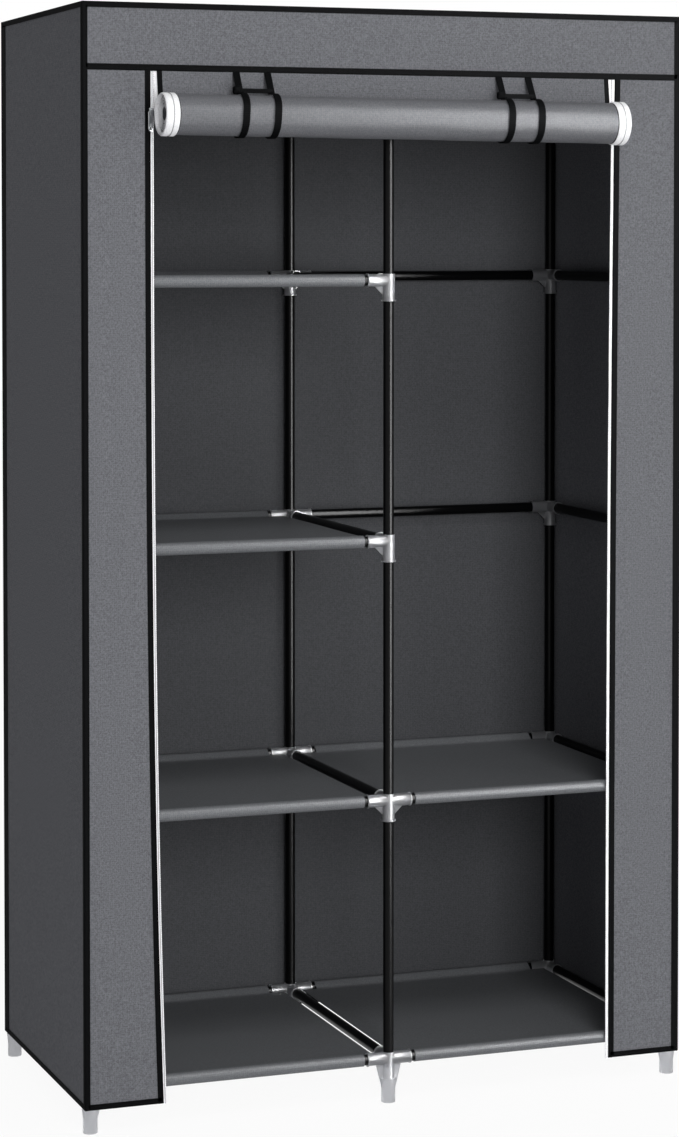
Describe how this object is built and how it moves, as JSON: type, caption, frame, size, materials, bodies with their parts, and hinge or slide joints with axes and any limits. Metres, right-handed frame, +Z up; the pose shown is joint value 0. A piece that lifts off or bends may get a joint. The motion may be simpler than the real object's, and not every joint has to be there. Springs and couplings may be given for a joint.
{
  "type": "portable fabric wardrobe",
  "caption": "Free-standing wardrobe with a push-fit steel tube frame, cloth shelves, a rail for hangers and a zipped cloth cover whose door is rolled up and tied.",
  "frame": {"origin": "on the floor under the middle of the bounding box, rolled door included", "axes": "+X to the right along the front, +Y from the doorway to the rear, +Z up"},
  "size_m": [0.928, 0.5382, 1.6],
  "materials": {
    "column": "black powder-coated steel tubes in clear-white moulded connectors",
    "steel_tube": "satin black powder coat",
    "connector": "frosted natural polypropylene",
    "cover_cloth": "grey non-woven polypropylene",
    "shelf_cloth": "dark grey non-woven polypropylene",
    "binding_tape": "black folded binding tape",
    "tie_tape": "black woven tape",
    "zip_tape": "white woven zip tape with a coil",
    "zip_metal": "bright plated metal"
  },
  "bodies": {
    "frame": {"upright_front_left": "column", "upright_front_center": "column", "upright_front_right": "column", "upright_rear_left": "column", "upright_rear_center": "column", "upright_rear_right": "column", "rail_front_left_0": "steel_tube", "rail_front_left_1": "steel_tube", "rail_front_left_2": "steel_tube", "rail_front_left_3": "steel_tube", "rail_front_left_4": "steel_tube", "rail_front_right_0": "steel_tube", "rail_front_right_1": "steel_tube", "rail_front_right_4": "steel_tube", "rail_rear_left_0": "steel_tube", "rail_rear_left_1": "steel_tube", "rail_rear_left_2": "steel_tube", "rail_rear_left_3": "steel_tube", "rail_rear_left_4": "steel_tube", "rail_rear_right_0": "steel_tube", "rail_rear_right_1": "steel_tube", "rail_rear_right_2": "steel_tube", "rail_rear_right_3": "steel_tube", "rail_rear_right_4": "steel_tube", "depth_bar_left_0": "steel_tube", "depth_bar_left_1": "steel_tube", "depth_bar_left_2": "steel_tube", "depth_bar_left_3": "steel_tube", "depth_bar_left_4": "steel_tube", "depth_bar_center_0": "steel_tube", "depth_bar_center_1": "steel_tube", "depth_bar_center_2": "steel_tube", "depth_bar_center_3": "steel_tube", "depth_bar_center_4": "steel_tube", "depth_bar_right_0": "steel_tube", "depth_bar_right_1": "steel_tube", "depth_bar_right_2": "steel_tube", "depth_bar_right_3": "steel_tube", "depth_bar_right_4": "steel_tube", "hanging_rail": "steel_tube", "shelf_left_0": "shelf_cloth", "shelf_left_1": "shelf_cloth", "shelf_left_2": "shelf_cloth", "shelf_left_3": "shelf_cloth", "shelf_right_0": "shelf_cloth", "shelf_right_1": "shelf_cloth", "cover_top": "cover_cloth", "cover_rear": "cover_cloth", "cover_left": "cover_cloth", "cover_right": "cover_cloth", "valance": "cover_cloth", "front_panel_left": "cover_cloth", "front_panel_right": "cover_cloth"},
    "door": {"rolled_door": "cover_cloth", "door_tie_left": "tie_tape", "door_tie_right": "tie_tape"},
    "zip_slider_left": {"zip_slider_left": "zip_metal"},
    "zip_slider_right": {"zip_slider_right": "zip_metal"},
    "pull_tab_left": {"pull_tab_left": "zip_metal"},
    "pull_tab_right": {"pull_tab_right": "zip_metal"}
  },
  "joints": [
    {"name": "door_swing", "type": "hinge", "parent": "frame", "child": "door", "pos_m": [0, -0.19831, 1.5022], "axis": [-1, 0, 0], "range_deg": [0, 35]},
    {"name": "zip_slider_left_slide", "type": "slide", "parent": "frame", "child": "zip_slider_left", "axis": [-0.0111, 0, 0.9999], "range_m": [-1.385, 0]},
    {"name": "zip_slider_right_slide", "type": "slide", "parent": "frame", "child": "zip_slider_right", "axis": [0.0046, 0, 1], "range_m": [-1.385, 0]},
    {"name": "pull_tab_left_flip", "type": "hinge", "parent": "zip_slider_left", "child": "pull_tab_left", "pos_m": [-0.36558, -0.20146, 1.447], "axis": [-1, 0, 0], "range_deg": [0, 150]},
    {"name": "pull_tab_right_flip", "type": "hinge", "parent": "zip_slider_right", "child": "pull_tab_right", "pos_m": [0.35495, -0.20146, 1.447], "axis": [-1, 0, 0], "range_deg": [0, 150]}
  ]
}
